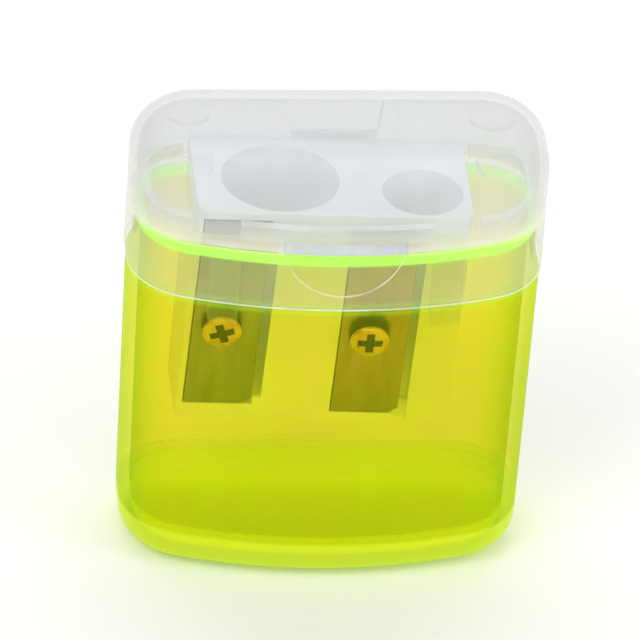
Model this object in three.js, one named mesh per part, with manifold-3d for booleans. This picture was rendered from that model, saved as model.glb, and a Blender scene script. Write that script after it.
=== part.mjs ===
// Pencil sharpener with two holes, a see-through bin and a hinged lid.
//
// The bin is a D-shaped tub: flat at the back, gently bowed at the front. A frosted
// cap pushes onto its neck. The cap is a collar with a deck, and a lid on a living
// hinge. The deck's window holds a plastic block with a large and a small conical
// bore, and a steel blade is screwed onto the block's sloping face over each bore.
//
// Millimetres. +Z is up, the front faces -Y, and the origin is at the middle of the
// underside.

import * as THREE from 'three';
import { mergeVertices } from 'three/addons/utils/BufferGeometryUtils.js';
import Module from 'manifold-3d';

const wasm = await Module();
wasm.setup();

// ---- driving dimensions -------------------------------------------------------

// outer plan, shared by the bin and the cap
const WIDTH = 42;
const DEPTH = 19.1;
const FRONT_RADIUS = 53.6; // bow of the front wall
const FRONT_CORNER = 7.6;
const REAR_CORNER = 6.6;

// levels
const COLLAR_Z = 33.3; // shoulder of the bin, where the cap's lower edge comes
const RIM_Z = 39.1; // top of the bin's neck
const PARTING_Z = 40.1; // joint between collar and lid
const HEIGHT = 49.3;

// walls
const BIN_WALL = 1.5;
const BIN_STEP = 0.2; // the bin's wall stands this far inside the cap's
const BIN_FLOOR = 1.5;
const BIN_ROUND = 3.5; // rounding of the bin's lower edge
const BIN_TAPER = 0.026; // the bin narrows by this share from shoulder to floor
const COLLAR_WALL = 0.75;
const NECK_WALL = 0.65;
const NECK_GAP = 0.2;
const DECK = 0.8;
const LID_WALL = 0.9;
const LID_ROUND = 4.3;
const PARTING_GAP = 0.2;

// locating lip that the lid closes over
const LIP_HEIGHT = 2.3;
const LIP_WALL = 0.8;
const LIP_GAP = 0.3;
const RELIEF_GAP = 0.6; // between the lip and the block
const CORNER_RELIEF = 4.8; // length of lip missing at each front corner of the block

// front details
const THUMB_RECESS = 6.2; // radius of the half-moon in the collar
const THUMB_RECESS_LIFT = 1.15; // of its centre above the parting
const THUMB_RECESS_DEPTH = 0.3;
const LEDGE_HALF = 6.2;
const LEDGE_HEIGHT = 1.4;
const LEDGE_OUT = 0.5;

// hinge and the pocket above it, at the middle of the back
const POCKET_TOP_HALF = 4.8;
const POCKET_FOOT_HALF = 4.0;
const POCKET_DEPTH = 2.0;
const POCKET_FLOOR_Z = 43.6;
const POCKET_WALL = 0.4;
const STRAP_HALF = 3.7;
const STRAP_THICK = 0.3;
const STRAP_REACH = 2.2; // above and below the parting
const STRAP_GAP = 0.1;

// sharpener block
const BLOCK_TOP_Z = 42.45;
const BLOCK_WIDTH = 27.7;
const BLOCK_X = -0.7;
const BLOCK_HEIGHT = 27.8;
const BLOCK_FRONT_Y = -5.9; // of the top front edge
const BLOCK_REAR_Y = 7.3;
const BLOCK_LEAN = THREE.MathUtils.degToRad(1.5); // it is a loose fit in the window
const BLOCK_CORNER = 1.5;
const REAR_LEDGE = 0.8; // ledge along the back that rests on the deck
const LEDGE_LIFT = 0.4; // room under it for the lean
const WINDOW_GAP = 0.35;
const FACE_SLOPE = THREE.MathUtils.degToRad(9); // of the blades, half the cone angle

// bores, [x, y] of the axis and radius at the top
const LARGE_BORE = { x: -5.9, y: 0.6, radius: 6.0, tip: 1.5 };
const SMALL_BORE = { x: 8.3, y: -1.3, radius: 4.1, tip: 0.8 };

// blades, screws and their seats
const BLADE_LENGTH = 25;
const BLADE_WIDTH = 6.8;
const BLADE_THICK = 0.6;
const BLADE_CHAMFER = [1.0, 0.6];
const EDGE_BEVEL = [0.85, 0.42];
const SEAT_DEPTH = 0.7;
const SEAT_MARGIN = 0.15;
const CHIP_SLOT_DEPTH = 1.6;
const CHIP_SLOT_SHORT = 1; // the slot ends this far above the blade's lower end
const SCREW_HEAD = 2.0;
const SCREW_HEAD_HEIGHT = 1.2;
const SCREW_SHANK = 0.95;
const SCREW_LENGTH = 5;
const FIT = 0.12; // between blade, seat and screw head

// where each blade lies on the sloping face: its cutting edge's x, how far its top
// end is down the slope, and how far its screw is from that end
const LARGE_BLADE = { edge: -7.0, top: 1.1, screw: [-3.9, 14.3], slot: 1.0, turn: 0.35 };
const SMALL_BLADE = { edge: 8.05, top: 1.9, screw: [-3.9, 14.3], slot: 0.9, turn: 0 };

// wedge legs under the deck that hold the block back from the bin's front wall
const LEG_SPANS = [[-13.0, -10.1], [9.4, 12.4]];
const LEG_FOOT_Z = 29.8;
const LEG_GAP = 0.25;

// ejector-pin marks on the lid's ceiling
const PIN_RADIUS = 2.35;
const PIN_PROUD = 0.25;
const PIN_PLACES = [[-15.3, 4.2], [-15.6, -4.4], [15.3, 3.4], [15.4, -4.0]];

const CURVE_STEPS = 4; // each arc of the plan has twice as many segments

// ---- materials ----------------------------------------------------------------

const binPlastic = new THREE.MeshStandardMaterial({
  name: 'fluorescent_yellow',
  color: 0xdce61e,
  roughness: 0.12,
  metalness: 0,
  opacity: 0.6,
  transparent: true,
});
const capPlastic = new THREE.MeshStandardMaterial({
  name: 'frosted_clear',
  color: 0xe6e6e2,
  roughness: 0.35,
  metalness: 0,
  opacity: 0.5,
  transparent: true,
});
const blockPlastic = new THREE.MeshStandardMaterial({
  name: 'white_plastic',
  color: 0xf2f3f5,
  roughness: 0.45,
  metalness: 0,
});
const steel = new THREE.MeshStandardMaterial({
  name: 'blade_steel',
  color: 0x8a8a86,
  roughness: 0.3,
  metalness: 1,
});
const brass = new THREE.MeshStandardMaterial({
  name: 'brass_plating',
  color: 0xc9a24a,
  roughness: 0.35,
  metalness: 1,
});

// ---- solids -------------------------------------------------------------------

function solid(geometry) {
  geometry.deleteAttribute('normal');
  geometry.deleteAttribute('uv');
  const merged = mergeVertices(geometry);
  return new wasm.Manifold(new wasm.Mesh({
    numProp: 3,
    vertProperties: new Float32Array(merged.attributes.position.array),
    triVerts: new Uint32Array(merged.index.array),
  }));
}

function piece(name, body, material) {
  const { vertProperties, triVerts } = body.getMesh();
  const geometry = new THREE.BufferGeometry();
  geometry.setAttribute('position', new THREE.BufferAttribute(vertProperties, 3));
  geometry.setIndex(new THREE.BufferAttribute(triVerts, 1));
  geometry.computeVertexNormals();
  const mesh = new THREE.Mesh(geometry, material);
  mesh.name = name;
  return mesh;
}

function box(low, high) {
  const size = high.map((value, axis) => value - low[axis]);
  const geometry = new THREE.BoxGeometry(...size);
  geometry.translate(...low.map((value, axis) => value + size[axis] / 2));
  return solid(geometry);
}

// an upright cylinder or cone frustum between two levels
function frustum(x, y, lowZ, highZ, lowRadius, highRadius, segments = 32) {
  const geometry = new THREE.CylinderGeometry(highRadius, lowRadius, highZ - lowZ, segments);
  geometry.rotateX(Math.PI / 2);
  geometry.translate(x, y, (lowZ + highZ) / 2);
  return solid(geometry);
}

// the D-shaped plan, with every wall moved inwards by inset
function plan(inset) {
  const arcY = FRONT_RADIUS - DEPTH / 2;
  const cornerX = WIDTH / 2 - FRONT_CORNER;
  const cornerY = arcY - Math.sqrt((FRONT_RADIUS - FRONT_CORNER) ** 2 - cornerX ** 2);
  const meet = Math.atan2(cornerY - arcY, cornerX);
  const rearX = WIDTH / 2 - REAR_CORNER;
  const rearY = DEPTH / 2 - REAR_CORNER;
  const outline = new THREE.Path();
  outline.absarc(0, arcY, FRONT_RADIUS - inset, -Math.PI - meet, meet);
  outline.absarc(cornerX, cornerY, FRONT_CORNER - inset, meet, 0);
  outline.absarc(rearX, rearY, REAR_CORNER - inset, 0, Math.PI / 2);
  outline.absarc(-rearX, rearY, REAR_CORNER - inset, Math.PI / 2, Math.PI);
  outline.absarc(-cornerX, cornerY, FRONT_CORNER - inset, Math.PI, Math.PI - meet);
  const points = outline.getPoints(CURVE_STEPS);
  const apart = (point, index) => point.distanceTo(points[(index + 1) % points.length]) > 0.01;
  return new THREE.Shape(points.filter(apart));
}

// the plan as an upright prism between two levels
function prism(inset, lowZ, highZ) {
  const geometry = new THREE.ExtrudeGeometry(plan(inset), { depth: highZ - lowZ, bevelEnabled: false });
  geometry.translate(0, 0, lowZ);
  return solid(geometry);
}

// the same prism with both of its ends rounded over
function pillow(inset, lowZ, highZ, round, taper = 0) {
  const geometry = new THREE.ExtrudeGeometry(plan(inset), {
    depth: highZ - lowZ - 2 * round,
    bevelThickness: round,
    bevelSize: round,
    bevelOffset: -round,
    bevelSegments: 5,
  });
  geometry.translate(0, 0, lowZ + round);
  const place = geometry.attributes.position;
  for (let index = 0; index < place.count; index += 1) {
    const share = 1 - (taper * (COLLAR_Z - place.getZ(index))) / COLLAR_Z;
    place.setX(index, place.getX(index) * share);
  }
  return solid(geometry);
}

// a shape drawn in Y (across) and Z (up), extruded along X
function sideProfile(points, fromX, toX) {
  const shape = new THREE.Shape(points.map(([y, z]) => new THREE.Vector2(y, z)));
  const geometry = new THREE.ExtrudeGeometry(shape, { depth: toX - fromX, bevelEnabled: false });
  geometry.applyMatrix4(new THREE.Matrix4().makeBasis(
    new THREE.Vector3(0, 1, 0),
    new THREE.Vector3(0, 0, 1),
    new THREE.Vector3(1, 0, 0),
  ));
  geometry.translate(fromX, 0, 0);
  return solid(geometry);
}

// ---- bin ----------------------------------------------------------------------

function makeBin() {
  const neckInset = COLLAR_WALL + NECK_GAP;
  const innerInset = neckInset + NECK_WALL;
  const rounded = pillow(BIN_STEP, 0, HEIGHT, BIN_ROUND, BIN_TAPER);
  const body = rounded.intersect(box([-WIDTH, -DEPTH, -1], [WIDTH, DEPTH, COLLAR_Z - PARTING_GAP]));
  const neck = prism(neckInset, COLLAR_Z - 1, RIM_Z);
  const cavityRound = BIN_ROUND - BIN_WALL;
  const cavity = pillow(innerInset, BIN_FLOOR, HEIGHT, cavityRound, BIN_TAPER);
  return piece('bin', body.add(neck).subtract(cavity), binPlastic);
}

// ---- cap: collar with deck, lip and legs --------------------------------------

// the part of the block that passes through the deck, grown by a gap
function blockEnvelope(gap) {
  const left = BLOCK_X - BLOCK_WIDTH / 2 - gap;
  const right = BLOCK_X + BLOCK_WIDTH / 2 + gap;
  const drop = BLOCK_HEIGHT * Math.tan(FACE_SLOPE);
  const shape = [
    [BLOCK_FRONT_Y - gap, 1],
    [BLOCK_FRONT_Y - gap + drop, -BLOCK_HEIGHT],
    [BLOCK_REAR_Y + gap, -BLOCK_HEIGHT],
    [BLOCK_REAR_Y + gap, 1],
  ];
  return sideProfile(shape, left, right).rotate([0, THREE.MathUtils.radToDeg(BLOCK_LEAN), 0])
    .translate([0, 0, BLOCK_TOP_Z]);
}

function makeCollar() {
  const top = PARTING_Z - PARTING_GAP / 2;
  const shell = prism(0, COLLAR_Z, top).subtract(prism(COLLAR_WALL, COLLAR_Z - 1, top - DECK));
  const lipInset = LID_WALL + LIP_GAP;
  const lip = prism(lipInset, top - DECK / 2, top + LIP_HEIGHT)
    .subtract(prism(lipInset + LIP_WALL, top - DECK, top + LIP_HEIGHT + 1));
  const room = prism(COLLAR_WALL + NECK_GAP + NECK_WALL + LEG_GAP, LEG_FOOT_Z, top - DECK / 2);
  let collar = shell.add(lip);
  for (const [fromX, toX] of LEG_SPANS) {
    const leg = room.intersect(box([fromX, -DEPTH, 0], [toX, 0, HEIGHT]));
    collar = collar.add(leg.subtract(blockEnvelope(LEG_GAP)));
  }
  const thumb = frustum(0, 0, 0, DEPTH, THUMB_RECESS, THUMB_RECESS).rotate([90, 0, 0])
    .translate([0, 0, PARTING_Z + THUMB_RECESS_LIFT])
    .subtract(prism(THUMB_RECESS_DEPTH, 0, HEIGHT));
  return piece('cap_collar', collar.subtract(blockEnvelope(WINDOW_GAP))
    .subtract(lipRelief()).subtract(thumb).subtract(strapSpace()), capPlastic);
}

// where the lip is cut away for the block's front corners and its rear ledge
function lipRelief() {
  const low = PARTING_Z - PARTING_GAP / 2;
  const left = BLOCK_X - BLOCK_WIDTH / 2 - RELIEF_GAP;
  const right = BLOCK_X + BLOCK_WIDTH / 2 + RELIEF_GAP;
  return box([left, -DEPTH, low], [left + CORNER_RELIEF, 0, HEIGHT])
    .add(box([right - CORNER_RELIEF, -DEPTH, low], [right, 0, HEIGHT]))
    .add(box([left, 0, low], [right, DEPTH, HEIGHT]));
}

// the shallow recess that the hinge strap lies in, across the parting
function strapSpace() {
  const half = STRAP_HALF + STRAP_GAP;
  const reach = STRAP_REACH + STRAP_GAP;
  const floorY = DEPTH / 2 - STRAP_THICK - STRAP_GAP;
  return box([-half, floorY, PARTING_Z - reach], [half, DEPTH, PARTING_Z + reach]);
}

// ---- lid and hinge ------------------------------------------------------------

// the pocket in the lid's back, wider at its mouth than at its foot
function pocket(grow) {
  const shape = new THREE.Shape([
    new THREE.Vector2(-POCKET_FOOT_HALF - grow, POCKET_FLOOR_Z - grow),
    new THREE.Vector2(POCKET_FOOT_HALF + grow, POCKET_FLOOR_Z - grow),
    new THREE.Vector2(POCKET_TOP_HALF + grow, HEIGHT + 1),
    new THREE.Vector2(-POCKET_TOP_HALF - grow, HEIGHT + 1),
  ]);
  const geometry = new THREE.ExtrudeGeometry(shape, { depth: DEPTH, bevelEnabled: false });
  geometry.rotateX(Math.PI / 2);
  geometry.translate(0, DEPTH * 1.5 - POCKET_DEPTH - grow, 0);
  return solid(geometry);
}

function makeLid() {
  const low = PARTING_Z + PARTING_GAP / 2;
  const above = box([-WIDTH, -DEPTH, low], [WIDTH, DEPTH, HEIGHT + 1]);
  const outer = pillow(0, 0, HEIGHT, LID_ROUND).intersect(above);
  const cavity = pillow(LID_WALL, 0, HEIGHT - LID_WALL, LID_ROUND - LID_WALL);
  const ledge = prism(-LEDGE_OUT, low + 0.1, low + LEDGE_HEIGHT)
    .intersect(box([-LEDGE_HALF, -DEPTH, 0], [LEDGE_HALF, 0, HEIGHT]))
    .subtract(prism(LID_WALL / 2, 0, HEIGHT));
  let lid = outer.subtract(cavity).add(outer.intersect(pocket(POCKET_WALL))).add(ledge);
  for (const [x, y] of PIN_PLACES) {
    const foot = HEIGHT - LID_WALL - PIN_PROUD;
    const pin = frustum(x, y, foot, HEIGHT - LID_WALL / 2, PIN_RADIUS, PIN_RADIUS);
    lid = lid.add(pin.intersect(outer));
  }
  return piece('lid', lid.subtract(pocket(0)).subtract(strapSpace()), capPlastic);
}

function makeHingeStrap() {
  const strap = box(
    [-STRAP_HALF, DEPTH / 2 - STRAP_THICK, PARTING_Z - STRAP_REACH],
    [STRAP_HALF, DEPTH / 2, PARTING_Z + STRAP_REACH],
  );
  return piece('hinge_strap', strap, capPlastic);
}

// ---- sharpener block ----------------------------------------------------------
// Its own frame has the origin at the middle of the cap's top plane, so the whole
// block assembly leans together.

// turns a solid from the sloping face's frame (x across, y up the slope, z outwards)
// into the block's frame
function onFace(body) {
  return body.rotate([90 + THREE.MathUtils.radToDeg(FACE_SLOPE), 0, 0]).translate([0, BLOCK_FRONT_Y, 0]);
}

function bore({ x, y, radius, tip }) {
  const slope = Math.tan(FACE_SLOPE);
  const foot = (radius - tip) / slope;
  const cone = frustum(x, y, -foot, 1, tip, radius + slope, 48);
  return foot < BLOCK_HEIGHT ? cone.add(frustum(x, y, -BLOCK_HEIGHT - 1, -foot + 1, tip, tip)) : cone;
}

function seat({ edge, top, screw, slot }) {
  const low = -top - BLADE_LENGTH - SEAT_MARGIN;
  const high = SEAT_MARGIN - top;
  const flat = box([edge - BLADE_WIDTH - SEAT_MARGIN, low, -SEAT_DEPTH], [edge + SEAT_MARGIN, high, 2]);
  const chips = box([edge, low + CHIP_SLOT_SHORT, -CHIP_SLOT_DEPTH], [edge + slot, high, 2]);
  const hole = SCREW_SHANK + FIT;
  const pilot = frustum(edge + screw[0], -top - screw[1], -SCREW_LENGTH - 0.5, 0, hole, hole);
  return onFace(flat.add(chips).add(pilot));
}

function makeBlock() {
  const left = BLOCK_X - BLOCK_WIDTH / 2;
  const right = BLOCK_X + BLOCK_WIDTH / 2;
  const side = [
    [BLOCK_FRONT_Y, 0],
    [BLOCK_FRONT_Y + BLOCK_HEIGHT * Math.tan(FACE_SLOPE), -BLOCK_HEIGHT],
    [BLOCK_REAR_Y, -BLOCK_HEIGHT],
    [BLOCK_REAR_Y, 0],
  ];
  const ledgeFoot = PARTING_Z + LEDGE_LIFT - BLOCK_TOP_Z;
  const ledge = box([left, BLOCK_REAR_Y - 1, ledgeFoot], [right, BLOCK_REAR_Y + REAR_LEDGE, 0]);
  const footprint = new THREE.Shape();
  const cornerY = BLOCK_FRONT_Y + BLOCK_CORNER;
  footprint.moveTo(left, DEPTH);
  footprint.lineTo(left, cornerY);
  footprint.absarc(left + BLOCK_CORNER, cornerY, BLOCK_CORNER, Math.PI, Math.PI * 1.5);
  footprint.absarc(right - BLOCK_CORNER, cornerY, BLOCK_CORNER, Math.PI * 1.5, 0);
  footprint.lineTo(right, DEPTH);
  const column = new THREE.ExtrudeGeometry(footprint, {
    depth: BLOCK_HEIGHT + 2,
    bevelEnabled: false,
    curveSegments: 3,
  });
  column.translate(0, 0, -BLOCK_HEIGHT - 1);
  return piece('sharpener_block', sideProfile(side, left, right).add(ledge).intersect(solid(column))
    .subtract(bore(LARGE_BORE)).subtract(bore(SMALL_BORE))
    .subtract(seat(LARGE_BLADE)).subtract(seat(SMALL_BLADE)), blockPlastic);
}

// ---- blades and screws, in the sloping face's frame ----------------------------

function makeBlade(name, { edge, top, screw }) {
  const [across, along] = BLADE_CHAMFER;
  const outline = new THREE.Shape([
    new THREE.Vector2(-BLADE_WIDTH, -BLADE_LENGTH),
    new THREE.Vector2(-across, -BLADE_LENGTH),
    new THREE.Vector2(0, -BLADE_LENGTH + along),
    new THREE.Vector2(0, 0),
    new THREE.Vector2(-BLADE_WIDTH, 0),
  ]);
  const hole = SCREW_SHANK + 2 * FIT;
  outline.holes.push(new THREE.Path().absarc(screw[0], -screw[1], hole, 0, Math.PI * 2));
  const geometry = new THREE.ExtrudeGeometry(outline, { depth: BLADE_THICK, bevelEnabled: false });
  const [bevelWide, bevelDeep] = EDGE_BEVEL;
  const ground = new THREE.ExtrudeGeometry(new THREE.Shape([
    new THREE.Vector2(-bevelWide, BLADE_THICK),
    new THREE.Vector2(bevelWide, BLADE_THICK - 2 * bevelDeep),
    new THREE.Vector2(bevelWide, BLADE_THICK + 1),
    new THREE.Vector2(-bevelWide, BLADE_THICK + 1),
  ]), { depth: BLADE_LENGTH + 2, bevelEnabled: false });
  ground.rotateX(Math.PI / 2);
  ground.translate(0, 1, 0);
  const mesh = piece(name, solid(geometry).subtract(solid(ground)), steel);
  mesh.position.set(edge, -top, FIT - SEAT_DEPTH);
  return mesh;
}

// a pan-head screw with a cross recess
function makeScrew(name, { edge, top, screw, turn }) {
  const profile = [
    [0, 1 - SCREW_LENGTH],
    [SCREW_SHANK * 0.5, 1 - SCREW_LENGTH],
    [SCREW_SHANK, 2 - SCREW_LENGTH],
    [SCREW_SHANK, 0],
    [SCREW_HEAD, 0],
    [SCREW_HEAD, SCREW_HEAD_HEIGHT * 0.6],
    [SCREW_HEAD * 0.85, SCREW_HEAD_HEIGHT * 0.9],
    [SCREW_HEAD * 0.6, SCREW_HEAD_HEIGHT],
    [0, SCREW_HEAD_HEIGHT],
  ].map(([radius, height]) => new THREE.Vector2(radius, height));
  const turned = new THREE.LatheGeometry(profile, 24);
  turned.rotateX(Math.PI / 2);
  const arm = SCREW_HEAD * 0.68;
  const slotHalf = SCREW_HEAD * 0.17;
  const deep = SCREW_HEAD_HEIGHT * 0.4;
  const cross = box([-arm, -slotHalf, deep], [arm, slotHalf, 2])
    .add(box([-slotHalf, -arm, deep], [slotHalf, arm, 2]));
  const mesh = piece(name, solid(turned).subtract(cross), brass);
  mesh.position.set(edge + screw[0], -top - screw[1], 2 * FIT - SEAT_DEPTH + BLADE_THICK);
  mesh.rotation.z = turn;
  return mesh;
}

// ---- assembly -----------------------------------------------------------------

const face = new THREE.Group();
face.position.y = BLOCK_FRONT_Y;
face.rotation.x = Math.PI / 2 + FACE_SLOPE;
face.add(
  makeBlade('blade_large', LARGE_BLADE),
  makeBlade('blade_small', SMALL_BLADE),
  makeScrew('screw_large', LARGE_BLADE),
  makeScrew('screw_small', SMALL_BLADE),
);

const insert = new THREE.Group();
insert.position.z = BLOCK_TOP_Z;
insert.rotation.y = BLOCK_LEAN;
insert.add(makeBlock(), face);

const sharpener = new THREE.Group();
sharpener.add(makeBin(), makeCollar(), makeLid(), makeHingeStrap(), insert);

export default sharpener;
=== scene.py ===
import math

import bmesh
import bpy
from mathutils import Matrix, Vector


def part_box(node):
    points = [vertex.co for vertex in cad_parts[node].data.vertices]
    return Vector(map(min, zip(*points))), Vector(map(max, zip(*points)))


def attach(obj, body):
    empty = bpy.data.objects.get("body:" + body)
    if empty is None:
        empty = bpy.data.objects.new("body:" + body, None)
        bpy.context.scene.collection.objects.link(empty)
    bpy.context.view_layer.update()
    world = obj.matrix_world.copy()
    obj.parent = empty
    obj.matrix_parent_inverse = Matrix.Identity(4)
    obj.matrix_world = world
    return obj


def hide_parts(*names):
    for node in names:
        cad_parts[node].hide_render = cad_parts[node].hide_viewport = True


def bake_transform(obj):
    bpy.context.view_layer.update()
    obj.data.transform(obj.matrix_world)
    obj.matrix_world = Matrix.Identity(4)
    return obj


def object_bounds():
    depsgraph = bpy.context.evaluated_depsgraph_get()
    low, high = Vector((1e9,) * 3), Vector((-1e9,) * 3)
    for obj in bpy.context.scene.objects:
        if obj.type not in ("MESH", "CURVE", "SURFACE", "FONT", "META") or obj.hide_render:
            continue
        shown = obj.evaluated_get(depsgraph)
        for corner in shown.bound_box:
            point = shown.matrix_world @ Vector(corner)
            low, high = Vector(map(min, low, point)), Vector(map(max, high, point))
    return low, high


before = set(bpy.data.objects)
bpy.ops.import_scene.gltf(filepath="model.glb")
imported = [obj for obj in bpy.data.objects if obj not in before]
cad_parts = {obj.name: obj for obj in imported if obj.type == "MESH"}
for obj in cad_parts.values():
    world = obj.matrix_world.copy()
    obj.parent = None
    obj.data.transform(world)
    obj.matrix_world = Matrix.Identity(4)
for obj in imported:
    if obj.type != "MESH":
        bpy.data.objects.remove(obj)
cad_low, cad_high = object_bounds()

# ---- bin ----------------------------------------------------------------------
# The tub that catches the shavings: one injection moulding in clear acrylic, dyed
# fluorescent yellow. The green glow at its shoulder and rim is painted light, put in its
# colour and emission, and a fainter painted glow covers the whole tub.
# A thinner neck stands up inside its shoulder, and the cap is pushed onto that neck.

mm = 0.001
wall_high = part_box("lid")[1]
half_width = wall_high.x
rear_wall = wall_high.y
front_wall = -rear_wall
front_bow = 53.6 * mm
front_corner = 7.6 * mm
rear_corner = 6.6 * mm


def arc(centre, radius, start, stop, steps):
    """Points along an arc, both ends included."""
    turn = (stop - start) / steps
    return [
        (centre[0] + radius * math.cos(start + k * turn), centre[1] + radius * math.sin(start + k * turn))
        for k in range(steps + 1)
    ]


def straight(start, stop, steps):
    """Points between two ends of a straight wall, the ends left out."""
    return [
        (start[0] + (stop[0] - start[0]) * k / steps, start[1] + (stop[1] - start[1]) * k / steps)
        for k in range(1, steps)
    ]


def d_plan(inset):
    """Once round the D-shaped plan, with its wall moved in by inset."""
    bow = (0, front_wall + front_bow)
    corner_x = half_width - front_corner
    corner_y = bow[1] - math.sqrt((front_bow - front_corner) ** 2 - corner_x**2)
    meet = math.atan2(corner_y - bow[1], corner_x)
    rear = (half_width - rear_corner, rear_wall - rear_corner)
    front = arc(bow, front_bow - inset, -math.pi / 2, meet, 14)
    front += arc((corner_x, corner_y), front_corner - inset, meet, 0, 14)[1:]
    back = arc(rear, rear_corner - inset, 0, math.pi / 2, 14)
    side = straight(front[-1], back[0], 3)
    right = front + side + back + straight(back[-1], (0, rear_wall - inset), 7)
    left = [(-x, y) for x, y in reversed(right[1:])]
    return right + [(0, rear_wall - inset)] + left


def rounding(inset, z, radius, start, stop, steps=8):
    """Part of a wall's profile that turns on an arc: insets and heights, angles in degrees."""
    angles = [math.radians(start + (stop - start) * k / steps) for k in range(steps + 1)]
    return [(inset - radius * math.cos(a), z + radius * math.sin(a)) for a in angles]


def new_mesh(name, points, faces):
    """A mesh object from points and faces, with its faces turned outwards."""
    mesh = bpy.data.meshes.new(name)
    mesh.from_pydata(points, [], faces)
    shape = bmesh.new()
    shape.from_mesh(mesh)
    bmesh.ops.remove_doubles(shape, verts=shape.verts, dist=1e-7)
    bmesh.ops.recalc_face_normals(shape, faces=shape.faces)
    shape.to_mesh(mesh)
    shape.free()
    piece = bpy.data.objects.new(name, mesh)
    bpy.context.scene.collection.objects.link(piece)
    return piece


def moulding(name, profile, narrowing=lambda z: 1.0):
    """A shell whose wall follows the profile all the way round the D-shaped plan."""
    rings = [[(x * narrowing(z), y, z) for x, y in d_plan(inset)] for inset, z in profile]
    count = len(rings[0])
    points = [point for ring in rings for point in ring]
    faces = [list(range(count)), list(range(len(points) - count, len(points)))]
    for ring in range(len(rings) - 1):
        for k in range(count):
            a, b = ring * count + k, ring * count + (k + 1) % count
            faces.append([a, b, b + count, a + count])
    return new_mesh(name, points, faces)


def smoothed(piece, angle=32):
    """Smooth shading that stays crisp at edges sharper than the angle."""
    piece.data.shade_smooth()
    piece.data.set_sharp_from_angle(angle=math.radians(angle))
    return piece


bin_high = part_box("bin")[1]
collar_low, collar_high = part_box("cap_collar")
shoulder_z = 33.1 * mm
neck_inset = 0.95 * mm
inner_inset = 1.6 * mm
shoulder_round = 0.35 * mm
rim_round = 0.15 * mm
bin_step = 0.2 * mm
foot_round = 3.5 * mm
floor_thick = 1.5 * mm
inside_round = 2.0 * mm
bin_taper = 0.026


def bin_narrowing(z):
    """The tub's taper: how much of its full width it has at a height."""
    return 1 - bin_taper * max(0, shoulder_z - z) / shoulder_z


bin_profile = rounding(bin_step + foot_round, foot_round, foot_round, -90, 0, 14)
bin_profile += [(bin_step, z * mm) for z in (8, 14, 20, 26, 31)]
bin_profile += rounding(bin_step + shoulder_round, shoulder_z - shoulder_round, shoulder_round, 0, 90, 5)
bin_profile += [(neck_inset, shoulder_z)]
bin_profile += rounding(neck_inset + rim_round, bin_high.z - rim_round, rim_round, 0, 90, 4)
bin_profile += rounding(inner_inset - rim_round, bin_high.z - rim_round, rim_round, 90, 180, 4)
bin_profile += [(inner_inset, z * mm) for z in (34, 26, 20, 14, 8)]
bin_profile += rounding(inner_inset + inside_round, floor_thick + inside_round, inside_round, 0, -90, 10)
tub = smoothed(moulding("shavings_bin", bin_profile, bin_narrowing))


def new_finish(name):
    """A material with its Principled shader, its node tree and an object-space position."""
    finish = bpy.data.materials.new(name)
    finish.use_nodes = True
    tree = finish.node_tree
    place = tree.nodes.new("ShaderNodeTexCoord").outputs["Object"]
    return finish, tree, tree.nodes["Principled BSDF"], place


def grain(tree, place, scale, detail, stretch=(1, 1, 1)):
    """A noise over the piece, stretched along chosen axes."""
    mapping = tree.nodes.new("ShaderNodeMapping")
    mapping.inputs["Scale"].default_value = stretch
    noise = tree.nodes.new("ShaderNodeTexNoise")
    noise.inputs["Scale"].default_value = scale
    noise.inputs["Detail"].default_value = detail
    tree.links.new(place, mapping.inputs["Vector"])
    tree.links.new(mapping.outputs["Vector"], noise.inputs["Vector"])
    return noise.outputs["Fac"]


def ramp(tree, value, stops):
    """A colour ramp over a value."""
    node = tree.nodes.new("ShaderNodeValToRGB")
    while len(node.color_ramp.elements) < len(stops):
        node.color_ramp.elements.new(0.5)
    for element, (position, colour) in zip(node.color_ramp.elements, stops):
        element.position = position
        element.color = (*colour, 1)
    tree.links.new(value, node.inputs["Fac"])
    return node.outputs["Color"]


def ranged(tree, value, low, high, to_low, to_high):
    """A value moved from one range to another, held at its ends."""
    node = tree.nodes.new("ShaderNodeMapRange")
    node.inputs["From Min"].default_value = low
    node.inputs["From Max"].default_value = high
    node.inputs["To Min"].default_value = to_low
    node.inputs["To Max"].default_value = to_high
    tree.links.new(value, node.inputs["Value"])
    return node.outputs["Result"]


def bumped(tree, shader, height, strength, depth):
    """Fine relief on a shader's surface."""
    bump = tree.nodes.new("ShaderNodeBump")
    bump.inputs["Strength"].default_value = strength
    bump.inputs["Distance"].default_value = depth
    tree.links.new(height, bump.inputs["Height"])
    tree.links.new(bump.outputs["Normal"], shader.inputs["Normal"])


def levels(tree, height, stops):
    """A value that changes with height, from pairs of a height and a value."""
    low, high = stops[0][0], stops[-1][0]
    share = ranged(tree, height, low, high, 0, 1)
    return ramp(tree, share, [((z - low) / (high - low), (value,) * 3) for z, value in stops])


def height_of(tree, place):
    """The height of a point on the piece, as it lies at rest."""
    split = tree.nodes.new("ShaderNodeSeparateXYZ")
    tree.links.new(place, split.inputs[0])
    return split.outputs["Z"]


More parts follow.
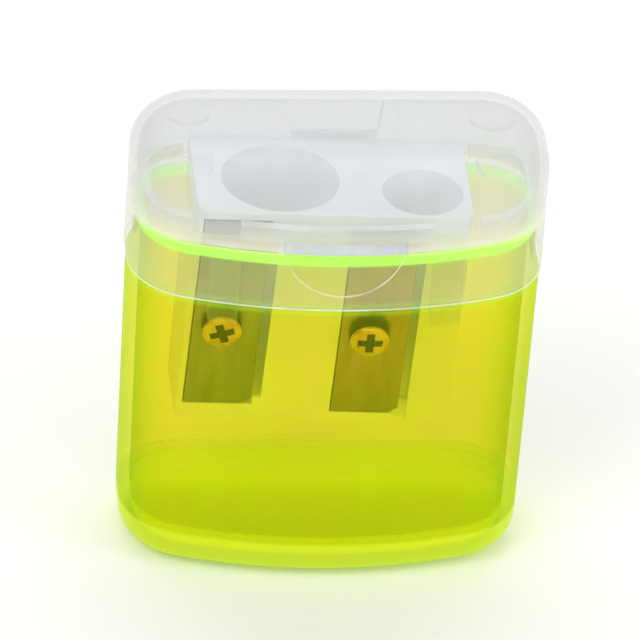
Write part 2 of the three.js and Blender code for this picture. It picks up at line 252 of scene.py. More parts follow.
def see_through(tree, shader, tint, edge_tint, cover, edge_cover):
    """Mixes a clear layer with the surface. Seen edge on, both take more of the light."""
    edge = tree.nodes.new("ShaderNodeLayerWeight")
    edge.inputs["Blend"].default_value = 0.5
    steep = tree.nodes.new("ShaderNodeMath")
    steep.operation = "POWER"
    steep.inputs[1].default_value = 1.6
    tree.links.new(edge.outputs["Facing"], steep.inputs[0])
    deeper = tree.nodes.new("ShaderNodeMix")
    deeper.data_type = "RGBA"
    deeper.inputs["B"].default_value = (*edge_tint, 1)
    tree.links.new(steep.outputs[0], deeper.inputs["Factor"])
    tree.links.new(tint, deeper.inputs["A"])
    clear = tree.nodes.new("ShaderNodeBsdfTransparent")
    tree.links.new(deeper.outputs["Result"], clear.inputs["Color"])
    total = tree.nodes.new("ShaderNodeMath")
    total.operation = "MULTIPLY_ADD"
    total.use_clamp = True
    total.inputs[1].default_value = edge_cover
    tree.links.new(steep.outputs[0], total.inputs[0])
    tree.links.new(cover, total.inputs[2])
    mix = tree.nodes.new("ShaderNodeMixShader")
    tree.links.new(total.outputs[0], mix.inputs[0])
    tree.links.new(clear.outputs[0], mix.inputs[1])
    tree.links.new(shader.outputs[0], mix.inputs[2])
    tree.links.new(mix.outputs[0], tree.nodes["Material Output"].inputs["Surface"])


def fluorescent_acrylic():
    """Clear yellow acrylic, denser in colour at its floor, with a painted green glow at its shoulder and
    rim.
    """
    finish, tree, shader, place = new_finish("fluorescent_acrylic")
    height = height_of(tree, place)
    # The green stops at the shoulder and the rim are painted glow; the colour is darker and greener at the
    # very foot.
    colour = ramp(tree, ranged(tree, height, 0, bin_high.z, 0, 1), [
        (0.0, (0.44, 0.56, 0.02)),
        (0.035, (0.78, 0.8, 0.02)),
        (0.11, (0.8, 0.82, 0.02)),
        (0.14, (0.52, 0.62, 0.01)),
        (0.82, (0.52, 0.62, 0.01)),
        (0.845, (0.35, 0.85, 0.02)),
        (0.86, (0.6, 0.7, 0.02)),
        (0.97, (0.4, 0.9, 0.03)),
    ])
    tree.links.new(colour, shader.inputs["Base Color"])
    shader.inputs["Roughness"].default_value = 0.12
    shader.inputs["IOR"].default_value = 1.49
    shader.inputs["Specular IOR Level"].default_value = 0.35
    # Emission is painted glow: faint over the whole tub, strongest at the rim.
    shader.inputs["Emission Color"].default_value = (0.34, 1, 0.02, 1)
    painted_glow = levels(tree, height, [
        (0, 0.18),
        (4.3 * mm, 0.2),
        (4.7 * mm, 0.24),
        (37.8 * mm, 0.24),
        (38.1 * mm, 0.5),
        (39.1 * mm, 0.6),
    ])
    tree.links.new(painted_glow, shader.inputs["Emission Strength"])
    bumped(tree, shader, grain(tree, place, 260, 2, (1, 1, 0.06)), 0.06, 0.12 * mm)
    # More cover at the shoulder and the rim, where the painted green glow shows.
    cover = levels(tree, height, [
        (0, 0.62),
        (4.2 * mm, 0.46),
        (4.4 * mm, 0.4),
        (4.7 * mm, 0.07),
        (32.5 * mm, 0.07),
        (33.0 * mm, 0.3),
        (33.3 * mm, 0.07),
        (38.0 * mm, 0.07),
        (38.2 * mm, 0.75),
        (39.1 * mm, 0.9),
    ])
    streaks = grain(tree, place, 330, 2, (1, 1, 0.03))
    tint = ramp(tree, streaks, [(0.35, (0.995, 0.915, 0.48)), (0.65, (0.97, 0.94, 0.43))])
    see_through(tree, shader, tint, (0.72, 0.82, 0.05), cover, 0.06)
    return finish


tub.data.materials.append(fluorescent_acrylic())
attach(tub, "bin")
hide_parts("bin")

# ---- cap collar ---------------------------------------------------------------
# The lower half of the cap, moulded in natural milky polypropylene. Its skirt grips
# the bin's neck, its deck has a window for the sharpener block, a lip stands up
# inside the lid, and two wedge legs under the deck hold the block back.

skirt = 0.75 * mm
deck = 0.8 * mm
lid_wall = 0.9 * mm
lip_inset = 1.2 * mm
lip_wall = 0.8 * mm
lip_height = 2.3 * mm
lip_top = collar_high.z
deck_top = lip_top - lip_height
lip_round = 0.25 * mm
skirt_foot = 33.3 * mm
skirt_round = 0.2 * mm
leg_spans = [(-13.0 * mm, -10.1 * mm), (9.4 * mm, 12.4 * mm)]
leg_gap = 0.25 * mm
window_gap = 0.35 * mm
lip_break = 0.6 * mm
lip_corner = 4.8 * mm
past = 1 * mm  # how far a cutting tool runs past the face that it cuts

block_low, block_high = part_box("sharpener_block")
lean = math.radians(1.5)
face_slope = math.radians(9)
spread, rise = block_high.x - block_low.x, block_high.z - block_low.z
skew = math.cos(2 * lean)
block_width = (spread * math.cos(lean) - rise * math.sin(lean)) / skew
block_height = (rise * math.cos(lean) - spread * math.sin(lean)) / skew
block_right = block_high.x / math.cos(lean)
block_left = block_right - block_width
block_top = block_high.z + block_left * math.sin(lean)
block_front = block_low.y
rear_ledge = 0.8 * mm
block_rear = block_high.y - rear_ledge
insert_frame = Matrix.Translation((0, 0, block_top)) @ Matrix.Rotation(lean, 4, "Y")
along_x = Matrix(((0, 0, 1, 0), (1, 0, 0, 0), (0, 1, 0, 0), (0, 0, 0, 1)))


def slab(name, outline, low, high):
    """A flat outline in X and Y raised between two heights."""
    count = len(outline)
    points = [(x, y, low) for x, y in outline] + [(x, y, high) for x, y in outline]
    faces = [list(range(count)), list(range(count, 2 * count))]
    faces += [[k, (k + 1) % count, count + (k + 1) % count, count + k] for k in range(count)]
    return new_mesh(name, points, faces)


def brick(name, low, high):
    """A straight-sided tool for cutting and joining."""
    outline = [(low[0], low[1]), (high[0], low[1]), (high[0], high[1]), (low[0], high[1])]
    return slab(name, outline, low[2], high[2])


def shaped(piece, tool, operation):
    """Cuts the tool out of the piece, or joins it on, and uses the tool up."""
    change = piece.modifiers.new("shape", "BOOLEAN")
    change.operation = operation
    change.solver = "EXACT"
    change.object = tool
    bpy.context.view_layer.update()
    solid = piece.evaluated_get(bpy.context.evaluated_depsgraph_get())
    made = bpy.data.meshes.new_from_object(solid)
    piece.modifiers.clear()
    piece.data = made
    bpy.data.objects.remove(tool)
    return piece


def cut(piece, tool):
    return shaped(piece, tool, "DIFFERENCE")


def joined(piece, tool):
    return shaped(piece, tool, "UNION")


def kept(piece, tool):
    return shaped(piece, tool, "INTERSECT")


def placed(piece, matrix):
    """Moves a mesh's own points, so that the object stays at the origin."""
    piece.data.transform(matrix)
    return piece


def turned(name, profile, segments=64):
    """A profile of radii and heights turned about Z, closed at its axis."""
    points, faces = [], []
    for radius, z in profile:
        for k in range(segments):
            a = 2 * math.pi * k / segments
            points.append((radius * math.cos(a), radius * math.sin(a), z))
    for ring in range(len(profile) - 1):
        for k in range(segments):
            a, b = ring * segments + k, ring * segments + (k + 1) % segments
            faces.append([a, b, b + segments, a + segments])
    faces.append(list(range(segments)))
    faces.append(list(range(len(points) - segments, len(points))))
    return new_mesh(name, points, faces)


def edged(piece, width, angle=40, segments=2):
    """Rounds every edge sharper than the angle, as a mould or a tumbler leaves it."""
    bevel = piece.modifiers.new("edge", "BEVEL")
    bevel.width = width
    bevel.segments = segments
    bevel.limit_method = "ANGLE"
    bevel.angle_limit = math.radians(angle)
    bevel.use_clamp_overlap = True
    bpy.context.view_layer.update()
    solid = piece.evaluated_get(bpy.context.evaluated_depsgraph_get())
    made = bpy.data.meshes.new_from_object(solid)
    piece.modifiers.clear()
    piece.data = made
    piece.data.materials.clear()
    return smoothed(piece)


def d_solid(name, inset, low, high):
    """A solid block of the D-shaped plan, between two heights."""
    return slab(name, d_plan(inset), low, high)


def block_room(gap):
    """The space that the leaning block passes through, with a gap all round."""
    drop = block_height * math.tan(face_slope)
    side = [
        (block_front - gap, past),
        (block_rear + gap, past),
        (block_rear + gap, -block_height),
        (block_front - gap + drop, -block_height),
    ]
    room = slab("room", side, block_left - gap, block_right + gap)
    return placed(room, insert_frame @ along_x)


def strap_room():
    """The shallow recess across the parting that the hinge strap lies in."""
    low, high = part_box("hinge_strap")
    gap = Vector((0.1, 0.1, 0.1)) * mm
    return brick("strap_room", low - gap, high + Vector((0.1 * mm, 0.01, 0.1 * mm)))


thumb_radius, thumb_depth = 6.2 * mm, 0.3 * mm
thumb_z = deck_top + 1.25 * mm


def cap_collar():
    profile = rounding(skirt_round, skirt_foot + skirt_round, skirt_round, -90, 0, 4)
    profile += [(0, z * mm) for z in (33.6, 35, 37)]
    profile += rounding(0.12 * mm, deck_top - 0.12 * mm, 0.12 * mm, 0, 90, 3)
    profile += [(lip_inset, deck_top), (lip_inset, lip_top - lip_round)]
    profile += rounding(lip_inset + lip_round, lip_top - lip_round, lip_round, 0, 90, 4)
    profile += [(lip_inset + lip_wall, lip_top), (lip_inset + lip_wall, deck_top)]
    outside = moulding("collar", profile)
    below = moulding("below", [(skirt, skirt_foot - past), (skirt, deck_top - deck)])
    collar = cut(outside, below)
    for start, stop in leg_spans:
        leg = d_solid("leg", inner_inset + leg_gap, collar_low.z, deck_top - deck / 2)
        leg = kept(leg, brick("span", (start, -1, 0), (stop, 0, 1)))
        leg = cut(leg, block_room(leg_gap))
        collar = joined(collar, leg)
    collar = cut(collar, block_room(window_gap))
    relief_left, relief_right = block_left - lip_break, block_right + lip_break
    for low, high in (
        ((relief_left, -1, deck_top), (relief_left + lip_corner, 0, 1)),
        ((relief_right - lip_corner, -1, deck_top), (relief_right, 0, 1)),
        ((relief_left, 0, deck_top), (relief_right, 1, 1)),
    ):
        collar = cut(collar, brick("relief", low, high))
    thumb = turned("thumb", [(thumb_radius, 0), (thumb_radius, 2 * rear_wall)], 96)
    facing = Matrix.Rotation(math.pi / 2, 4, "X")
    thumb = placed(thumb, Matrix.Translation((0, 0, thumb_z)) @ facing)
    thumb = cut(thumb, d_solid("skin", thumb_depth, 0, 0.1))
    collar = cut(cut(collar, thumb), strap_room())
    return edged(collar, 0.07 * mm, 50)


def milky_polypropylene():
    """Milky plastic, haziest at the deck, with yellow light from the bin painted into its colour there and
    a faint painted glow all over.
    """
    finish, tree, shader, place = new_finish("milky_polypropylene")
    height = height_of(tree, place)
    cover = levels(tree, height, [
        (29.8 * mm, 0.1),
        (39.7 * mm, 0.08),
        (39.9 * mm, 0.36),
        (42.2 * mm, 0.28),
        (42.7 * mm, 0.26),
        (44.5 * mm, 0.24),
        (47.0 * mm, 0.19),
        (49.3 * mm, 0.19),
    ])
    # Warmer from the skirt up to the deck; the yellow band at the deck is painted yellow light from the
    # bin.
    colour = ramp(tree, ranged(tree, height, 29.8 * mm, 49.3 * mm, 0, 1), [
        (0.0, (0.7, 0.72, 0.62)),
        (0.5, (0.7, 0.68, 0.5)),
        (0.52, (0.86, 0.82, 0.42)),
        (0.56, (0.72, 0.7, 0.6)),
        (0.64, (0.66, 0.66, 0.64)),
        (0.67, (0.63, 0.63, 0.64)),
        (1.0, (0.62, 0.62, 0.64)),
    ])
    tree.links.new(colour, shader.inputs["Base Color"])
    # Emission is a faint painted glow over the whole cap.
    shader.inputs["Emission Color"].default_value = (0.98, 1, 0.9, 1)
    shader.inputs["Emission Strength"].default_value = 0.14
    flow = grain(tree, place, 90, 3, (1, 1, 0.5))
    rough = ranged(tree, flow, 0.3, 0.7, 0.2, 0.32)
    tree.links.new(rough, shader.inputs["Roughness"])
    shader.inputs["IOR"].default_value = 1.49
    shader.inputs["Specular IOR Level"].default_value = 0.4
    bumped(tree, shader, grain(tree, place, 1400, 3), 0.1, 0.05 * mm)
    tint = ramp(tree, flow, [(0.3, (0.97, 0.975, 0.98)), (0.7, (0.98, 0.985, 0.99))])
    see_through(tree, shader, tint, (0.9, 0.905, 0.915), cover, 0.25)
    return finish


def milky_painted_edge_light():
    """The same plastic, lighter and with a glow: painted light for the edges and steps where light runs
    along the wall and gathers.
    """
    finish, tree, shader, place = new_finish("milky_painted_edge_light")
    flow = grain(tree, place, 300, 2)
    colour = ramp(tree, flow, [(0.3, (0.8, 0.82, 0.8)), (0.7, (0.9, 0.92, 0.9))])
    tree.links.new(colour, shader.inputs["Base Color"])
    shader.inputs["Emission Color"].default_value = (0.97, 1, 0.95, 1)
    shader.inputs["Emission Strength"].default_value = 0.15
    shader.inputs["Roughness"].default_value = 0.3
    shader.inputs["IOR"].default_value = 1.49
    cover = ranged(tree, flow, 0.3, 0.7, 0.35, 0.55)
    tint = ramp(tree, flow, [(0.3, (0.95, 0.96, 0.96)), (0.7, (0.97, 0.98, 0.98))])
    see_through(tree, shader, tint, (0.92, 0.93, 0.94), cover, 0.2)
    return finish


def milky_ledge():
    """The same plastic where it is two walls thick, bluish against the light."""
    finish, tree, shader, place = new_finish("milky_ledge")
    flow = grain(tree, place, 240, 3)
    colour = ramp(tree, flow, [(0.3, (0.56, 0.6, 0.72)), (0.7, (0.64, 0.68, 0.76))])
    tree.links.new(colour, shader.inputs["Base Color"])
    shader.inputs["Roughness"].default_value = 0.35
    shader.inputs["IOR"].default_value = 1.49
    tint = ramp(tree, flow, [(0.3, (0.93, 0.95, 0.97)), (0.7, (0.96, 0.97, 0.98))])
    cover = ranged(tree, flow, 0.3, 0.7, 0.55, 0.7)
    see_through(tree, shader, tint, (0.9, 0.92, 0.95), cover, 0.2)
    return finish


def paint_edge_light(piece, low, high, upright=0.5):
    """Gives the narrow faces between two heights the painted edge light, if they look up or down enough.
    """
    narrow = 2 * mm * mm
    for side in piece.data.polygons:
        level = low < side.center.z < high
        if level and abs(side.normal.z) >= upright and side.area < narrow:
            side.material_index = 1


cap_finish, cap_painted_edge_light = milky_polypropylene(), milky_painted_edge_light()
collar = cap_collar()
collar.name = "cap_collar_moulding"
collar.data.materials.append(cap_finish)
collar.data.materials.append(cap_painted_edge_light)
# Painted edge light along the skirt's foot and the lip's top.
paint_edge_light(collar, skirt_foot - 0.1 * mm, skirt_foot + 0.3 * mm, 0)
paint_edge_light(collar, lip_top - 0.3 * mm, lip_top + 0.1 * mm)
# The step round the thumb recess gets the painted edge light too.
for side in collar.data.polygons:
    reach = math.hypot(side.center.x, side.center.z - thumb_z)
    thumb_step = abs(reach - thumb_radius) < 0.1 * mm
    if thumb_step and side.center.y < 0 and abs(side.normal.y) < 0.5:
        side.material_index = 1
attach(collar, "cap")
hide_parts("cap_collar")

# ---- sharpener block ----------------------------------------------------------
# The working part: a block of white polystyrene with a conical bore for thick and
# one for standard pencils. It drops through the deck's window and leans a little in
# it, and its sloping face carries a seat, a chip slot and a screw hole per blade.

seat_depth = 0.7 * mm
blade_length = 25 * mm
blade_width = 6.8 * mm
blade_thick = 0.6 * mm
screw_across, screw_down = -3.9 * mm, 14.3 * mm
seat_margin = 0.15 * mm
chip_depth = 1.6 * mm
pilot_radius, pilot_depth = 1.07 * mm, 5.5 * mm
large = {"edge": -7.0 * mm, "top": 1.1 * mm, "slot": 1.0 * mm}
small = {"edge": 8.05 * mm, "top": 1.9 * mm, "slot": 0.9 * mm}
large_bore = {"x": -5.9 * mm, "y": 0.6 * mm, "radius": 6.0 * mm, "tip": 1.5 * mm}
small_bore = {"x": 8.3 * mm, "y": -1.3 * mm, "radius": 4.1 * mm, "tip": 0.8 * mm}
face_turn = Matrix.Rotation(math.pi / 2 + face_slope, 4, "X")
face_frame = Matrix.Translation((0, block_front, 0)) @ face_turn


def conical_bore(x, y, radius, tip):
    """A cone as steep as the block's face, eased at its mouth, with a straight tip if it is short."""
    slope = math.tan(face_slope)
    mouth = 0.35 * mm
    below = -block_height - past
    tip_starts = -(radius - tip) / slope
    if tip_starts > -block_height:
        profile = [(tip, below), (tip, tip_starts)]
    else:
        profile = [(radius + below * slope, below)]
    profile += [(radius, 0), (radius + mouth, 0.2 * mm), (radius + mouth, past)]
    return placed(turned("bore", profile, 128), Matrix.Translation((x, y, 0)))


def seat(blade):
    """The flat that a blade lies in, the chip slot at its edge and the pilot hole for its screw."""
    edge = blade["edge"]
    low = -blade["top"] - blade_length - seat_margin
    high = seat_margin - blade["top"]
    above = 2 * mm
    seat_low = (edge - blade_width - seat_margin, low, -seat_depth)
    flat = brick("seat", seat_low, (edge + seat_margin, high, above))
    chips = brick("chips", (edge, low + 1 * mm, -chip_depth), (edge + blade["slot"], high, above))
    flat = joined(flat, chips)
    pilot = turned("pilot", [(pilot_radius, -pilot_depth), (pilot_radius, 0)], 32)
    place = Matrix.Translation((edge + screw_across, -blade["top"] - screw_down, 0))
    return placed(joined(flat, placed(pilot, place)), face_frame)


def face_wedge():
    """What the sloping face leaves off the block's front."""
    drop = block_height * math.tan(face_slope)
    below = -block_height - past
    side = [
        (block_front, 0),
        (block_front - past, 0),
        (block_front - past, below),
        (block_front + drop * 1.036, below),
    ]
    return placed(slab("wedge", side, block_left - past, block_right + past), along_x)


def sharpener_block():
    corner = 1.5 * mm
    front_y = block_front + corner
    outline = [(block_left, block_rear)]
    outline += arc((block_left + corner, front_y), corner, math.pi, 1.5 * math.pi, 8)
    outline += arc((block_right - corner, front_y), corner, 1.5 * math.pi, 2 * math.pi, 8)
    outline += [(block_right, block_rear)]
    block = slab("block", outline, -block_height, 0)
    block = cut(block, face_wedge())
    ledge_foot = deck_top + 0.5 * mm - block_top
    ledge_low = (block_left, block_rear - 1 * mm, ledge_foot)
    ledge_high = (block_right, block_rear + rear_ledge, 0)
    block = joined(block, brick("ledge", ledge_low, ledge_high))
    block = cut(block, conical_bore(**large_bore))
    block = cut(block, conical_bore(**small_bore))
    block = cut(cut(block, seat(large)), seat(small))
    return placed(edged(block, 0.12 * mm), insert_frame)


def white_polystyrene():
    finish, tree, shader, place = new_finish("white_polystyrene")
    colour = ramp(tree, grain(tree, place, 160, 4), [(0.3, (0.84, 0.86, 0.89)), (0.7, (0.91, 0.92, 0.94))])
    tree.links.new(colour, shader.inputs["Base Color"])
    rough = ranged(tree, grain(tree, place, 900, 3), 0.3, 0.7, 0.32, 0.5)
    tree.links.new(rough, shader.inputs["Roughness"])
    shader.inputs["IOR"].default_value = 1.55
    bumped(tree, shader, grain(tree, place, 2600, 2), 0.15, 0.03 * mm)
    return finish


block = sharpener_block()
block.name = "bored_block"
block.data.materials.append(white_polystyrene())
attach(block, "cap")
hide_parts("sharpener_block")

# ---- blades -------------------------------------------------------------------
# Two blades of hardened tool steel, ground flat, with one long edge honed to a bevel
# and a clipped corner. Each lies in its seat on the sloping face over a bore.

blade_lift = 0.12 * mm
screw_hole = 1.2 * mm
on_end = Matrix(((1, 0, 0, 0), (0, 0, 1, 0), (0, 1, 0, 0), (0, 0, 0, 1)))


def blade(name, at):
    chamfer_across, chamfer_along = 1.0 * mm, 0.6 * mm
    outline = [
        (-blade_width, -blade_length),
        (-chamfer_across, -blade_length),
        (0, -blade_length + chamfer_along),
        (0, 0),
        (-blade_width, 0),
    ]
    plate = slab(name, outline, 0, blade_thick)
    hole = turned("hole", [(screw_hole, -1 * mm), (screw_hole, 2 * mm)], 48)
    plate = cut(plate, placed(hole, Matrix.Translation((screw_across, -screw_down, 0))))
    wide, deep = 0.85 * mm, 0.42 * mm
    honed = [(-wide, blade_thick), (wide, blade_thick - 2 * deep), (wide, 2 * mm), (-wide, 2 * mm)]
    grind = slab("grind", honed, -blade_length - past, past)
    plate = cut(plate, placed(grind, on_end))
    lie = Matrix.Translation((at["edge"], -at["top"], blade_lift - seat_depth))
    return placed(edged(plate, 0.04 * mm, 25), lie)


def ground_steel(name, dark, light, rough):
    """Steel with grinding strokes along the blade."""
    finish, tree, shader, place = new_finish(name)
    strokes = grain(tree, place, 900, 5, (1, 1, 0.03))
    tree.links.new(ramp(tree, strokes, [(0.3, dark), (0.7, light)]), shader.inputs["Base Color"])
    shader.inputs["Metallic"].default_value = 1
    tree.links.new(ranged(tree, strokes, 0.3, 0.7, rough, rough + 0.12), shader.inputs["Roughness"])
    bumped(tree, shader, strokes, 0.08, 0.02 * mm)
    return finish


bright_steel = ground_steel("ground_steel", (0.33, 0.31, 0.28), (0.44, 0.41, 0.37), 0.3)
straw_steel = ground_steel("tempered_steel", (0.42, 0.28, 0.19), (0.54, 0.38, 0.27), 0.3)
# The honed bevel is a much darker copy of the steel: painted shade on the bevel.
honed_steel_painted_shade = ground_steel("honed_steel_painted_shade", (0.12, 0.11, 0.1), (0.2, 0.18, 0.15), 0.25)
for node, at, flat_steel in (("blade_large", large, bright_steel), ("blade_small", small, straw_steel)):
    plate = blade(node + "_ground", at)
    plate.data.materials.append(flat_steel)
    plate.data.materials.append(honed_steel_painted_shade)
    # The bevel's faces take the painted shade.
    for side in plate.data.polygons:
        if 0.1 < side.normal.x < 0.9 and side.normal.z > 0.3:
            side.material_index = 1
    placed(plate, insert_frame @ face_frame)
    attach(plate, "cap")
    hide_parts(node)

# ---- screws -------------------------------------------------------------------
# One pan-head screw through each blade, steel plated yellow. The head is domed, with
# a cross recess whose arms narrow towards its floor.

head_radius = 2.0 * mm
head_height = 1.2 * mm


def pan_head_screw(name, turn):
    shank, length = 0.95 * mm, 5 * mm
    profile = [(0.3 * shank, 1 * mm - length), (shank, 2 * mm - length), (shank, 0)]
    profile += [(head_radius * 0.98, 0), (head_radius, 0.05 * mm), (head_radius, 0.62 * head_height)]
    for k in range(1, 9):
        a = math.radians(11 * k)
        rim = head_radius * (1 - 0.16 * (1 - math.cos(a)))
        profile.append((rim, (0.62 + 0.3 * math.sin(a)) * head_height))
    for share in (0.7, 0.5, 0.25, 0.02):
        profile.append((head_radius * share, (1 - 0.1 * share**2) * head_height))
    screw = turned(name, profile, 96)
    arm, half, deep = 0.84 * head_radius, 0.25 * head_radius, 0.3 * head_height
    for quarter in (0, math.pi / 2):
        slot = brick("slot", (-arm, -half, deep), (arm, half, 2 * head_height))
        for point in slot.data.vertices:
            if point.co.z < head_height:
                point.co.x *= 0.6
                point.co.y *= 0.7
        screw = cut(screw, placed(slot, Matrix.Rotation(quarter, 4, "Z")))
    screw = edged(screw, 0.05 * mm, 35)
    return placed(screw, Matrix.Rotation(turn, 4, "Z"))


def plated(name, dark, light, rough):
    """Plating that varies in patches between a darker and a lighter tone."""
    finish, tree, shader, place = new_finish(name)
    patches = grain(tree, place, 500, 5)
    tree.links.new(ramp(tree, patches, [(0.3, dark), (0.7, light)]), shader.inputs["Base Color"])
    shader.inputs["Metallic"].default_value = 1
    tree.links.new(ranged(tree, patches, 0.3, 0.7, rough, rough + 0.16), shader.inputs["Roughness"])
    bumped(tree, shader, grain(tree, place, 3000, 2), 0.1, 0.02 * mm)
    return finish


# Yellow plating whose copper-orange patches paint in an orange glint.
plating_with_painted_glint = plated("yellow_plating", (0.66, 0.3, 0.1), (0.95, 0.68, 0.3), 0.2)
# A near-black copy of the plating: painted shade for the cross recess and the head's lower side.
painted_shade_plating = plated("plating_painted_shade", (0.03, 0.015, 0.01), (0.09, 0.04, 0.02), 0.45)
for node, at, turn in (("screw_large", large, 0.35), ("screw_small", small, 0.0)):
    screw = pan_head_screw(node + "_plated", turn)
    screw.data.materials.append(plating_with_painted_glint)
    screw.data.materials.append(painted_shade_plating)
    # The cross recess and the lower side of the head get the painted shade.
    for side in screw.data.polygons:
        reach = math.hypot(side.center.x, side.center.y)
        recess = reach < 0.82 * head_radius and side.center.z < 0.86 * head_height
        if recess or side.center.z < 0.6 * head_height:
            side.material_index = 1
    head_foot = 2 * blade_lift - seat_depth + blade_thick
    seated = Vector((at["edge"] + screw_across, -at["top"] - screw_down, head_foot))
    placed(screw, insert_frame @ face_frame @ Matrix.Translation(seated))
    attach(screw, "cap")
    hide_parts(node)

# ---- lid ----------------------------------------------------------------------
# The upper half of the cap, in the same milky polypropylene: a pillow-shaped cover
# with a pocket in its back, a thumb ledge at its front and four ejector-pin marks
# on its ceiling. It swings back on the strap.

lid_low, lid_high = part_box("lid")
lid_round = 4.3 * mm
lid_upright = 43 * mm
pocket_floor = 43.6 * mm
pocket_wall = 0.4 * mm
ledge_half = 6.2 * mm
pin_radius = 2.35 * mm
pins = [
    {"x": -15.3 * mm, "y": 4.2 * mm, "reach": 0.4 * mm},
    {"x": -15.6 * mm, "y": -4.4 * mm, "reach": 1.3 * mm},
    {"x": 15.3 * mm, "y": 3.4 * mm, "reach": 0.4 * mm},
    {"x": 15.4 * mm, "y": -4.0 * mm, "reach": 1.3 * mm},
]


def pocket(grow):
    """The pocket in the lid's back, wider at its mouth than at its foot."""
    foot, mouth = 4.0 * mm + grow, 4.8 * mm + grow
    floor, above = pocket_floor - grow, lid_high.z + past
    outline = [(-foot, floor), (foot, floor), (mouth, above), (-mouth, above)]
    room = slab("pocket", outline, 0, 10 * mm)
    stand = Matrix.Translation((0, rear_wall - 2 * mm - grow, 0)) @ on_end
    return placed(room, stand)


def lid_outside():
    """The lid's outer wall, from its rim up to its flat top."""
    profile = [(0, lid_low.z), (0, lid_upright)]
    profile += rounding(lid_round, lid_high.z - lid_round, lid_round, 0, 90, 14)
    return profile


def hinged_lid():
    inner = lid_round - lid_wall
    profile = list(reversed(lid_outside()))
    profile += [(lid_wall, lid_low.z), (lid_wall, lid_upright)]
    profile += rounding(lid_round, lid_high.z - lid_round, inner, 0, 90, 12)
    lid = moulding("lid", profile)
    walls = kept(pocket(pocket_wall), moulding("within", lid_outside()))
    lid = joined(lid, walls)
    ledge = d_solid("ledge", -0.5 * mm, lid_low.z + 0.1 * mm, lid_low.z + 1.4 * mm)
    ledge = kept(ledge, brick("span", (-ledge_half, -1, 0), (ledge_half, 0, 1)))
    ledge = cut(ledge, d_solid("skin", lid_wall / 2, 0, 0.1))
    lid = joined(lid, edged(ledge, 0.25 * mm, 50, 3))
    ceiling = lid_high.z - lid_wall
    for mark in pins:
        pin = turned("pin", [(pin_radius, ceiling - mark["reach"]), (pin_radius, ceiling + 0.4 * mm)], 64)
        placed(pin, Matrix.Translation((mark["x"], mark["y"], 0)))
        lid = joined(lid, kept(pin, moulding("within", lid_outside())))
    lid = cut(cut(lid, pocket(0)), strap_room())
    return edged(lid, 0.08 * mm, 50)


lid = hinged_lid()
lid.name = "hinged_lid"
lid.data.materials.append(cap_finish)
lid.data.materials.append(cap_painted_edge_light)
lid.data.materials.append(milky_ledge())
# Painted edge light along the lid's rim.
paint_edge_light(lid, lid_low.z - 0.1 * mm, lid_low.z + 0.2 * mm)
for side in lid.data.polygons:
    proud = math.hypot(side.center.x, side.center.y - front_wall - front_bow) - front_bow
    if side.center.y < 0 and abs(side.center.x) < ledge_half + 0.1 * mm and proud > 0.03 * mm:
        side.material_index = 2
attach(lid, "lid")
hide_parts("lid")

# ---- hinge strap --------------------------------------------------------------
# The living hinge: a strap moulded with the collar and the lid, thinned along the
# parting so that it folds there each time the lid opens.


def hinge_strap():
    low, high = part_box("hinge_strap")
    middle = (low.z + high.z) / 2
    rows = 40
    points, faces = [], []
    for k in range(rows + 1):
        z = low.z + (high.z - low.z) * k / rows
        thin = 0.55 * math.exp(-(((z - middle) / (0.5 * mm)) ** 2))
        inner = low.y + (high.y - low.y) * thin
        points += [(low.x, inner, z), (high.x, inner, z), (high.x, high.y, z), (low.x, high.y, z)]
    for k in range(rows):
        for side in range(4):
            a, b = 4 * k + side, 4 * k + (side + 1) % 4
            faces.append([a, b, b + 4, a + 4])
    faces += [[0, 1, 2, 3], [4 * rows + side for side in range(4)]]
    return smoothed(new_mesh("hinge_strap_moulding", points, faces))


strap = hinge_strap()
strap.data.materials.append(cap_finish)
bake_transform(strap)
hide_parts("hinge_strap")

# ---- table, light and camera --------------------------------------------------
# A table of white paper in a bright, even room, under four soft boxes. The camera
# stands well back, a little to the left and about 34 degrees above the table.

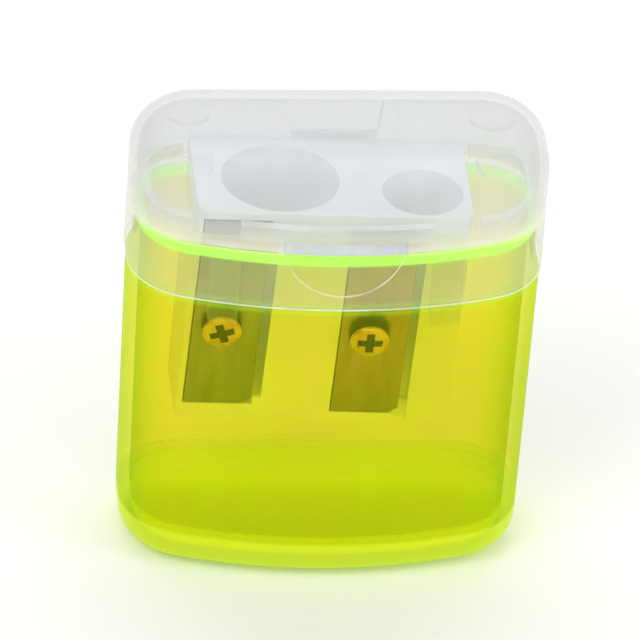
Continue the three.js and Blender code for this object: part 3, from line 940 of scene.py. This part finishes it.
scene = bpy.context.scene
reach = 2
corners = [(-reach, -reach, 0), (reach, -reach, 0), (reach, reach, 0), (-reach, reach, 0)]
floor = new_mesh("floor", corners, [[0, 1, 2, 3]])
floor_finish, floor_tree, floor_shader, floor_place = new_finish("white_paper")
floor_grain = grain(floor_tree, floor_place, 30, 2)
floor_tone = ramp(floor_tree, floor_grain, [(0.3, (0.93, 0.93, 0.93)), (0.7, (0.95, 0.95, 0.95))])
floor_tree.links.new(floor_tone, floor_shader.inputs["Base Color"])
floor_shader.inputs["Roughness"].default_value = 0.9
floor.data.materials.append(floor_finish)

world = bpy.data.worlds.new("studio")
world.use_nodes = True
room_light = world.node_tree.nodes["Background"]
room_light.inputs["Color"].default_value = (1, 1, 1, 1)
room_light.inputs["Strength"].default_value = 0.55
scene.world = world


def softbox(name, place, aim, size, power):
    """A rectangular lamp aimed at a point, its power in watts."""
    light = bpy.data.lights.new(name, "AREA")
    light.shape = "RECTANGLE"
    light.size, light.size_y = size
    light.energy = power
    lamp = bpy.data.objects.new(name, light)
    lamp.location = place
    lamp.rotation_euler = (Vector(aim) - Vector(place)).to_track_quat("-Z", "Y").to_euler()
    scene.collection.objects.link(lamp)


middle = (cad_low + cad_high) / 2
softbox("key", (-0.35, -0.35, 0.6), middle, (0.35, 0.35), 1.5)
softbox("fill", (0.45, -0.25, 0.35), middle, (0.25, 0.4), 0.8)
softbox("front", (-0.05, -0.8, 0.28), middle, (0.6, 0.3), 1.35)
softbox("top", (0.0, 0.25, 0.6), middle, (0.5, 0.25), 1.3)

camera = bpy.data.objects.new("camera", bpy.data.cameras.new("camera"))
elevation, swing, roll = math.radians(34.15), math.radians(-7.04), math.radians(4.16)
distance = 1.1825
aim = Vector((-0.94 * mm, 0, 25.83 * mm))
level_share = math.cos(elevation)
back = Vector((math.sin(swing) * level_share, -math.cos(swing) * level_share, math.sin(elevation)))
level = Vector((math.cos(swing), math.sin(swing), 0))
upright = back.cross(level)
across = math.cos(roll) * level + math.sin(roll) * upright
up = -math.sin(roll) * level + math.cos(roll) * upright
turn = Matrix((across, up, back)).transposed().to_4x4()
camera.matrix_world = Matrix.Translation(aim + back * distance) @ turn
camera.data.lens = 658.9
camera.data.clip_end = 10
scene.collection.objects.link(camera)
scene.camera = camera
scene.view_settings.view_transform = "Standard"
scene.cycles.transparent_max_bounces = 32
scene.cycles.max_bounces = 24
scene.cycles.transmission_bounces = 20
